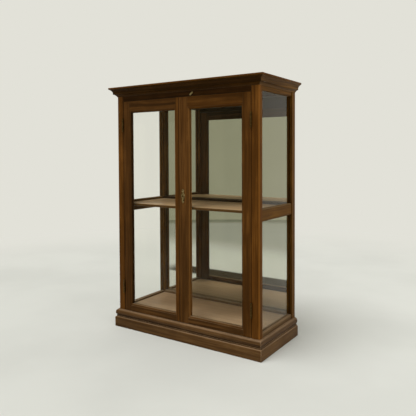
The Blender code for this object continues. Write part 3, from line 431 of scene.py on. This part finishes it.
def mirror_silver():
    """Silvering with faint clouds, slow waves and brown foxing that creeps in from the rim."""
    material, bench = new_material("mirror_silver")
    place = spot_on(bench)
    sides = abs(along(place, "X")) - (mirror_high.x - FOXED_EDGE)
    ends = abs(along(place, "Z") - (mirror_low.z + mirror_high.z) / 2)
    rim = bench.math("MAXIMUM", sides, ends - ((mirror_high.z - mirror_low.z) / 2 - FOXED_EDGE))
    foxed = between(rim + speckle(place, **FOXING) * FOXING_REACH, *FOXING_LIMITS)
    silver = mixed(blotches(place, **CLOUDING), colour(230, 231, 222), colour(224, 225, 214))
    base = mixed(foxed * FOXING_SHARE, silver, colour(120, 112, 88))
    rough = SILVER_ROUGHNESS + foxed * FOXED_ROUGHNESS
    relief = bench.node("Bump", None, {**SILVER_RELIEF, "Height": speckle(place, **SILVER_WAVES)})
    finish_with(bench, {"Base Color": base, "Roughness": rough, "Normal": relief, "Metallic": 1.0})
    return material


BACK_BOARD, BACK_BOARD_STEP = 20, 0.3
foot_tones = wood_tones((98, 74, 48), (130, 101, 70), (158, 128, 94), (184, 160, 131))
# Painted shade: the top and middle rails take the shaded tones, and all three get painted shade in their
# corners.
back_rails = {
    "top": {"tones": shaded, "shade_reach": 0.03},
    "mid": {"tones": shaded, "shade_reach": 0.03},
    "bottom": {"tones": foot_tones, "shade_reach": 0.01},
}
for number, (rail, look) in enumerate(back_rails.items()):
    name = f"back_{rail}_rail"
    dress(name, wood(f"{name}_wood", ALONG_X, board=BACK_BOARD + BACK_BOARD_STEP * number, **look), RUBBED)
dress("mirror", mirror_silver())
dress("back_panel", wood("back_panel_wood", ALONG_Z, unpolished, board=21, polish=0.0), RUBBED)

# Shelf: one thin board with a rounded front edge, lying loose on the bearers of the middle side rails.
# Like the floor it was waxed once, and only its front edge is stained and polished like the doors.

FORWARD = (0, -1, 0)
shelf_tones = wood_tones((156, 121, 84), (187, 149, 107), (212, 175, 131), (208, 183, 150))
front_edge = {"axis": FORWARD, "low": 0.35, "high": 0.95, "share": 1.0, "tint": colour(102, 69, 33)}
shelf_wood = wood("shelf_wood", ALONG_X, shelf_tones, board=22, polish=0.15, dust=0.3, tinted=[front_edge])
dress("shelf", shelf_wood)

# Top and cornice: a thin board over a moulding with a bed hollow, a flat band and a shallow cove.
# The moulding is planed in the solid and mitred at the front corners; dust lies evenly on the board.

polished = wood_tones((60, 36, 11), (98, 60, 21), (144, 94, 41), (158, 130, 98))
dress("top_board", wood("top_wood", ALONG_X, polished, board=25, dust=0.5))
# Painted shade: the front of the cornice takes tones painted dark for the shade under its overhang, and the
# returns get painted shade in their hollows over a longer reach.
RETURN_SHADE_REACH = 0.04
shaded_cornice_tones = wood_tones((40, 24, 6), (67, 41, 12), (99, 65, 25), (152, 124, 92))
return_tones = wood_tones((60, 39, 13), (101, 68, 28), (148, 106, 56), (170, 142, 108))
dress("cornice_front", wood("cornice_front_wood", ALONG_X, shaded_cornice_tones, board=26), RUBBED)
for board, hand in enumerate(("left", "right"), start=27):
    name = f"cornice_{hand}"
    dress(name, wood(f"{name}_wood", ALONG_Y, return_tones, board, shade_reach=RETURN_SHADE_REACH), RUBBED)

# Doors: two frames, each of two stiles and two rails with a quarter round on the sight edge, coped and
# tenoned. The right meeting stile carries a bead over the gap. The sight edges of the meeting stiles have a
# painted highlight, three of the stiles are painted darker low down as shade, most of all the right meeting
# stile below the lock, and the sight edges beside the hinges have painted shade.

left_tones = wood_tones((52, 32, 12), (88, 55, 22), (130, 86, 41), (156, 128, 96))
handled = wood_tones((66, 41, 15), (106, 67, 28), (152, 103, 52), (164, 134, 100))
low_tones = wood_tones((55, 35, 15), (87, 56, 24), (127, 87, 45), (160, 132, 100))
FOOT_DUST = 0.6
# Stiles: little wear, and painted shade in corners over a short reach.
STILE_WEAR_AND_SHADE = {"wear": 0.12, "shade_reach": 0.008}
# Painted shade on the hinge-side sight edges and painted highlight on the meeting-side ones.
SIGHT_EDGE_SHADE = {"low": 0.15, "high": 0.6, "share": 0.45, "tint": colour(34, 25, 12)}
SIGHT_EDGE_HIGHLIGHT = {"low": 0.15, "high": 0.7, "share": 0.6, "tint": handled["light"]}
FIRST_STILE_BOARD, FIRST_RAIL_BOARD = 29, 33
doors = {
    "left": {
        "inward": 1,
        "hinge": {"tones": left_tones, "low_shade": 0.12},
        "meeting": {"tones": polished, "low_shade": 0.0},
        "head": left_tones,
    },
    "right": {
        "inward": -1,
        "hinge": {"tones": polished, "low_shade": 0.12},
        "meeting": {"tones": handled, "low_shade": 0.5},
        "head": polished,
    },
}
for number, (hand, door) in enumerate(doors.items()):
    sight_edges = {
        "hinge": {"axis": (door["inward"], 0, 0), **SIGHT_EDGE_SHADE},
        "meeting": {"axis": (-door["inward"], 0, 0), **SIGHT_EDGE_HIGHLIGHT},
    }
    for board, (stile, sight_edge) in enumerate(sight_edges.items(), start=FIRST_STILE_BOARD + 2 * number):
        name = f"{hand}_door_{stile}_stile"
        look = {**door[stile], **STILE_WEAR_AND_SHADE, "tinted": [sight_edge]}
        dress(name, wood(f"{name}_wood", ALONG_Z, board=board, **look), RUBBED)
    head, foot = f"{hand}_door_top_rail", f"{hand}_door_bottom_rail"
    board = FIRST_RAIL_BOARD + 2 * number
    dress(head, wood(f"{head}_wood", ALONG_X, door["head"], board), RUBBED)
    dress(foot, wood(f"{foot}_wood", ALONG_X, low_tones, board + 1, dust=FOOT_DUST), RUBBED)
    dress(f"{hand}_door_glass", pane_glass(f"{hand}_door_glass"))

# Hinges: brass butts let into the posts and the doors, a fixed pin through five knuckles.
# The brass is old: brown all over, black in the corners and rubbed a little brighter where it turns.

TARNISH = {"scale": 160.0, "detail": 5.0, "distortion": 0.4}
TARNISH_LIMITS = (0.28, 0.72)
SCRATCH_DRAW = (1.0, 1.0, 0.08)
SCRATCHES_PER_METRE = 1500.0
RUB_RADIUS, RUB_LIMITS, RUB_SHARE = 0.0008, (0.02, 0.25), 0.6
SOOT_REACH, SOOT_LIMITS, SOOT_SHARE = 0.006, (0.2, 0.8), 0.7
BRASS_ROUGHNESS = {"bare": 0.28, "tarnish": 0.22, "scratches": 0.08}
BRASS_RELIEF = {"Strength": 0.2, "Distance": 0.0002}


def old_brass(name, bright, dull, age=0.0):
    """Brass that has tarnished in blotches; the older, the less of the bright metal is left."""
    material, bench = new_material(name)
    place = spot_on(bench)
    tarnish = between(speckle(place, **TARNISH) + age, *TARNISH_LIMITS)
    drawn = bench.node("Mapping", None, {"Vector": place, "Scale": SCRATCH_DRAW})
    scratches = speckle(drawn, SCRATCHES_PER_METRE)
    rubbed = between(edge_share(bench, RUB_RADIUS), *RUB_LIMITS)
    base = mixed(tarnish, bright, dull)
    base = mixed(rubbed * RUB_SHARE, base, bright)
    base = mixed(corner_share(bench, SOOT_REACH, *SOOT_LIMITS) * SOOT_SHARE, base, colour(34, 27, 15))
    rough = BRASS_ROUGHNESS["bare"] + tarnish * BRASS_ROUGHNESS["tarnish"]
    rough = rough + scratches * BRASS_ROUGHNESS["scratches"]
    relief = bench.node("Bump", None, {**BRASS_RELIEF, "Height": scratches + tarnish})
    finish_with(bench, {"Base Color": base, "Roughness": rough, "Normal": relief, "Metallic": 1.0})
    return material


FILED = 0.0002
BROWNED = 0.03
hinge_brass = old_brass("hinge_brass", colour(120, 92, 48), colour(66, 49, 25), age=BROWNED)
for hand in ("left", "right"):
    for end in ("top", "bottom"):
        for owner in ("post", "door"):
            dress(f"{hand}_hinge_{end}_{owner}_leaf", hinge_brass, FILED)

# Hinge screws: three slotted brass screws in each leaf, turned into countersunk holes.
# Their heads are flush with the leaf but for a low crown, so that the leaves close on each other.

SCREW_FACETS = 20
RIM_STEPS = 10
FLOOR_SINK = 0.25
FLOOR_FIT = 0.995


def slotted_heads(name, seats, outward, radius, proud, slot, turn):
    """Slotted screw heads in one mesh: two raised half discs each, on a sunk floor between them."""
    shape = bmesh.new()
    facing = Vector(UPWARD).rotation_difference(outward).to_matrix().to_4x4()
    lean = math.asin(slot / 2 / radius)
    sweep = math.pi - 2 * lean
    for number, seat in enumerate(seats):
        placed = Matrix.Translation(seat) @ facing @ Matrix.Rotation(turn * (number + 1), 4, "Z")
        floor = bmesh.ops.create_cone(
            shape, cap_ends=True, segments=SCREW_FACETS, radius1=radius, radius2=radius, depth=proud,
            matrix=placed @ Matrix.Translation((0, 0, -proud * FLOOR_SINK)),
        )
        bmesh.ops.scale(shape, vec=(FLOOR_FIT,) * 3, verts=floor["verts"], space=placed.inverted())
        for half in (0.0, math.pi):
            angles = [half + lean + sweep * step / RIM_STEPS for step in range(RIM_STEPS + 1)]
            rim = [Vector((radius * math.cos(angle), radius * math.sin(angle), 0.0)) for angle in angles]
            low = [shape.verts.new(placed @ corner) for corner in rim]
            high = [shape.verts.new(placed @ corner + outward * proud) for corner in rim]
            shape.faces.new(low)
            shape.faces.new(high)
            for step in range(len(rim)):
                shape.faces.new((low[step - 1], low[step], high[step], high[step - 1]))
    bmesh.ops.recalc_face_normals(shape, faces=shape.faces)
    mesh = bpy.data.meshes.new(name)
    shape.to_mesh(mesh)
    shape.free()
    piece = bpy.data.objects.new(name, mesh)
    bpy.context.scene.collection.objects.link(piece)
    mesh.materials.append(hinge_brass)
    return piece


HINGE_SCREW = {"radius": 0.0029, "proud": 0.0003, "slot": 0.0007, "turn": 0.9}
SCREW_SETBACK = 0.0085
SCREW_STAGGER = 0.0025
SCREW_PITCH = 0.023
post_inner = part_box("post_front_right")[0].x
door_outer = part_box("right_door_hinge_stile")[1].x
post_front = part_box("post_front_right")[0].y
for side, hand in ((-1, "left"), (1, "right")):
    leaves = (("post", post_inner, -1, "cabinet"), ("door", door_outer, 1, f"{hand}_door"))
    for end in ("top", "bottom"):
        leaf_low, leaf_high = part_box(f"{hand}_hinge_{end}_post_leaf")
        middle = (leaf_low.z + leaf_high.z) / 2
        for owner, face, facing, body in leaves:
            seats = []
            for row in (-1, 0, 1):
                behind = post_front + SCREW_SETBACK + SCREW_STAGGER * abs(row)
                seats.append(Vector((side * face, behind, middle + SCREW_PITCH * row)))
            outward = Vector((side * facing, 0, 0))
            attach(slotted_heads(f"{hand}_{end}_{owner}_screws", seats, outward, **HINGE_SCREW), body)

# Lock: a brass cut lock sunk in the back of the right meeting stile; its bolt shoots into the left door.
# In front a key plate is pinned over the keyhole, browned all over but for its raised rim.

BACKWARD = Vector((0, 1, 0))
LOCK_SCREW = {"radius": 0.0024, "proud": 0.0005, "slot": 0.0006, "turn": 1.1}
PLATE_PIN = {"radius": 0.0012, "proud": 0.0004, "slot": 0.0004, "turn": 0.7}
LOCK_SCREW_INSET = 0.005
PLATE_RIM_PROUD = 0.0009
PLATE_PIN_REACH = 0.0225
brass = old_brass("rubbed_brass", colour(196, 168, 112), colour(112, 94, 58))
plate_brass = old_brass("plate_brass", colour(226, 196, 140), colour(82, 63, 36), age=BROWNED)
for name, metal in (("lock_case", brass), ("lock_bolt", brass), ("escutcheon", plate_brass)):
    dress(name, metal, FILED)
lock_low, lock_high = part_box("lock_case")
lock_seats = []
for x in (lock_low.x + LOCK_SCREW_INSET, lock_high.x - LOCK_SCREW_INSET):
    for z in (lock_low.z + LOCK_SCREW_INSET, lock_high.z - LOCK_SCREW_INSET):
        lock_seats.append(Vector((x, lock_high.y, z)))
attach(slotted_heads("lock_screws", lock_seats, BACKWARD, **LOCK_SCREW), "right_door")
plate_low, plate_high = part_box("escutcheon")
plate_middle = (plate_low + plate_high) / 2
pin_seats = []
for end in (-1, 1):
    height = plate_middle.z + PLATE_PIN_REACH * end
    pin_seats.append(Vector((plate_middle.x, plate_low.y + PLATE_RIM_PROUD, height)))
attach(slotted_heads("escutcheon_pins", pin_seats, Vector(FORWARD), **PLATE_PIN), "right_door")

# Door bolts: two brass slides on the back of the left meeting stile, one shot up into the rail over the
# doors and one down into the floor board. Each plate is held by four small screws.

BOLT_SCREW = {"radius": 0.0016, "proud": 0.0004, "slot": 0.0005, "turn": 0.8}
BOLT_PLATE_FACE = 0.0019
BOLT_SCREW_INSET = 0.0021
BOLT_SCREW_END = 0.006
for end in ("top", "bottom"):
    dress(f"door_bolt_plate_{end}", brass, FILED)
    dress(f"door_bolt_{end}", brass, FILED)
    plate_low, plate_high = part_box(f"door_bolt_plate_{end}")
    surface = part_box("left_door_meeting_stile")[1].y + BOLT_PLATE_FACE
    seats = []
    for x in (plate_low.x + BOLT_SCREW_INSET, plate_high.x - BOLT_SCREW_INSET):
        for z in (plate_low.z + BOLT_SCREW_END, plate_high.z - BOLT_SCREW_END):
            seats.append(Vector((x, surface, z)))
    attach(slotted_heads(f"door_bolt_{end}_screws", seats, BACKWARD, **BOLT_SCREW), "left_door")

# Turn button: a small brass bar on a round-headed screw in the rail over the right door.
# It is turned by hand to hold the door shut, so it is rubbed paler than the other brass.

button_brass = old_brass("button_brass", colour(208, 190, 146), colour(150, 130, 90))
dress("turn_button", button_brass, FILED)
dress("turn_button_screw", button_brass)

# Back screws: brown slotted screws that hold the thin back panel into its rebates all the way round.
# They are driven through the panel into the posts and rails, with low heads.

BACK_SCREW = {"radius": 0.0034, "proud": 0.0006, "slot": 0.0009, "turn": 1.3}
BACK_SCREW_SIDE = 0.012
BACK_SCREW_END = 0.014
SCREWS_ACROSS = 5
SCREWS_UP = 7
panel_low, panel_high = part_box("back_panel")
first_column, last_column = panel_low.x + BACK_SCREW_SIDE, panel_high.x - BACK_SCREW_SIDE
first_row, last_row = panel_low.z + BACK_SCREW_END, panel_high.z - BACK_SCREW_END
back_seats = []
for step in range(SCREWS_ACROSS):
    x = first_column + (last_column - first_column) * step / (SCREWS_ACROSS - 1)
    back_seats += [Vector((x, panel_high.y, z)) for z in (first_row, last_row)]
for step in range(1, SCREWS_UP - 1):
    z = first_row + (last_row - first_row) * step / (SCREWS_UP - 1)
    back_seats += [Vector((x, panel_high.y, z)) for x in (first_column, last_column)]
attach(slotted_heads("back_screws", back_seats, BACKWARD, **BACK_SCREW), "cabinet")

# Floor: plain pale paint that runs out into the pale of the room, with the cabinet's shadow on it.
# It throws little light back at the wood. Where only the mirror, the panes and the polish reflect it, it is
# painted dimmer, with a dark strip and a dim rim: a painted reflection.

PALE = colour(226, 225, 216)
FLOOR_REACH = 3.9
FLOOR_DROP = 0.0004
FLOOR_FACETS = 96
PAINT_CLOUDS = {"scale": 1.3, "detail": 4.0, "low": 0.35, "high": 0.65}
DIM_AHEAD = (-2.0, -1.2)
STRIP_FRONT, STRIP_BACK, STRIP_ENDS = (-0.78, -0.74), (-0.60, -0.54), (0.9, 1.1)
RIM_START, RIM_END = FLOOR_REACH - 0.45, FLOOR_REACH - 0.15
GLOW_FROM = (-1.4, -0.8)
FADE_OUT = (1.8, 3.5)


def reflection(bench):
    """1 for a ray that comes off a mirror or a gloss, 0 for one that comes straight."""
    return bench.math("MINIMUM", ray(bench, "Glossy Depth"), 1.0)


floor_mesh = bpy.data.meshes.new("floor")
disc = bmesh.new()
bmesh.ops.create_circle(disc, cap_ends=True, segments=FLOOR_FACETS, radius=FLOOR_REACH)
disc.to_mesh(floor_mesh)
disc.free()
floor = bpy.data.objects.new("floor", floor_mesh)
floor.location.z = -FLOOR_DROP
bpy.context.scene.collection.objects.link(floor)
floor_paint, bench = new_material("floor_paint")
place = spot_on(bench)
distance = bench.node("VectorMath", {"operation": "LENGTH"}, {0: place}, "Value")
depth = along(place, "Y")
paint = mixed(blotches(place, **PAINT_CLOUDS), colour(217, 218, 213), colour(211, 212, 207))
reflected = reflection(bench)
# Painted reflection: seen only in reflections, the floor far ahead is dimmer, a strip in front is dark and
# the rim is dim.
paint = mixed(reflected * (1 - between(depth, *DIM_AHEAD)), paint, colour(164, 165, 156))
strip = between(depth, *STRIP_FRONT) * (1 - between(depth, *STRIP_BACK))
strip = strip * (1 - between(abs(along(place, "X")), *STRIP_ENDS))
paint = mixed(reflected * strip, paint, colour(62, 54, 42))
paint = mixed(reflected * between(distance, RIM_START, RIM_END), paint, colour(126, 127, 112))
paint = mixed(ray(bench, "Is Diffuse Ray"), paint, colour(150, 148, 138))
matt = {"Base Color": paint, "Roughness": 1.0, "Specular IOR Level": 0.0}
painted = bench.node("BsdfPrincipled", None, matt)
glow = bench.node("Emission", None, {"Color": PALE})
open_floor = bench.math("MAXIMUM", ray(bench, "Is Camera Ray"), between(depth, *GLOW_FROM))
faded = between(distance, *FADE_OUT) * open_floor
surface = bench.node("MixShader", None, {0: faded, 1: painted, 2: glow})
bench.node("OutputMaterial", None, {"Surface": surface})
floor_mesh.materials.append(floor_paint)

# Room: an even pale all round, which lights the cabinet from every side.
# The mirror, the panes and the polish reflect it dimmer at the left front and warmer at the right back.

AMBIENT = 0.69
DIM_SIDE, DIM_LIMITS = Vector((-0.52, -0.77, 0.37)), (0.1, 0.75)
WARM_SIDE, WARM_LIMITS = Vector((0.55, 0.83, 0.0)), (0.5, 0.95)
world = bpy.data.worlds.new("room")
bpy.context.scene.world = world
world.use_nodes = True
world.node_tree.nodes.clear()
bench = Signal(world.node_tree)
direction = bench.node("TexCoord", None, None, "Generated")
room = mixed(between(agreement(direction, DIM_SIDE), *DIM_LIMITS), PALE, colour(154, 153, 132))
room = mixed(between(agreement(direction, WARM_SIDE), *WARM_LIMITS), room, colour(224, 219, 206))
seen = ray(bench, "Is Camera Ray")
mirrored = bench.math("MAXIMUM", ray(bench, "Is Glossy Ray"), ray(bench, "Is Transmission Ray"))
strength = AMBIENT + bench.math("MAXIMUM", seen, mirrored) * (1 - AMBIENT)
shown = mixed(reflection(bench), PALE, room)
backdrop = bench.node("Background", None, {"Color": shown, "Strength": strength})
bench.node("OutputWorld", None, {"Surface": backdrop})

# Lamps: a broad skylight from above, a little from the front and the left, with soft shadows.
# One weak lamp stands on the right; the camera, the gloss and the glass don't see its disc.

SKYLIGHT_SPREAD = math.radians(32)
SKYLIGHT_STRENGTH = 1.7
SKYLIGHT_TILT = (math.radians(17), math.radians(-9), 0)
LAMP_PLACE = Vector((3.2, -0.2, 1.9))
LAMP_AIM = Vector((0.0, 0.0, 0.7))
LAMP_SIZE = 1.8
LAMP_POWER = 16
skylight = bpy.data.lights.new("skylight", "SUN")
skylight.angle = SKYLIGHT_SPREAD
skylight.energy = SKYLIGHT_STRENGTH
overhead = bpy.data.objects.new("skylight", skylight)
overhead.rotation_euler = SKYLIGHT_TILT
bpy.context.scene.collection.objects.link(overhead)
right_lamp = bpy.data.lights.new("right_lamp", "AREA")
right_lamp.shape = "DISK"
right_lamp.size = LAMP_SIZE
right_lamp.energy = LAMP_POWER
holder = bpy.data.objects.new("right_lamp", right_lamp)
holder.location = LAMP_PLACE
holder.rotation_euler = (LAMP_AIM - LAMP_PLACE).to_track_quat("-Z", "Y").to_euler()
holder.visible_camera = False
holder.visible_glossy = False
holder.visible_transmission = False
bpy.context.scene.collection.objects.link(holder)

# Camera: the photograph's place and lens, above the middle of the cabinet and off its right front corner.
# Its axis meets the picture above and left of the middle, so the lens is shifted by that much.

IMAGE_WIDTH = 416
FOCAL_PIXELS = 499.8
AXIS_ROW = 169.95
AXIS_COLUMN = 207.1
SENSOR_WIDTH = 36.0
EYE = Vector((1.394, -2.043, 0.886))
azimuth = math.radians(33.73)
pitch = math.radians(1.89)
roll = math.radians(-0.25)
level = Vector((math.cos(azimuth), math.sin(azimuth), 0))
levelled = math.cos(pitch)
forward = Vector((-math.sin(azimuth) * levelled, math.cos(azimuth) * levelled, -math.sin(pitch)))
upright = level.cross(forward)
right = level * math.cos(roll) + upright * math.sin(roll)
top = upright * math.cos(roll) - level * math.sin(roll)
lens = bpy.data.cameras.new("camera")
lens.sensor_width = SENSOR_WIDTH
lens.lens = FOCAL_PIXELS / IMAGE_WIDTH * SENSOR_WIDTH
lens.shift_x = (IMAGE_WIDTH / 2 - AXIS_COLUMN) / IMAGE_WIDTH
lens.shift_y = (AXIS_ROW - IMAGE_WIDTH / 2) / IMAGE_WIDTH
camera = bpy.data.objects.new("camera", lens)
camera.matrix_world = Matrix.Translation(EYE) @ Matrix((right, top, -forward)).transposed().to_4x4()
bpy.context.scene.collection.objects.link(camera)
bpy.context.scene.camera = camera
bpy.context.scene.view_settings.view_transform = "Standard"
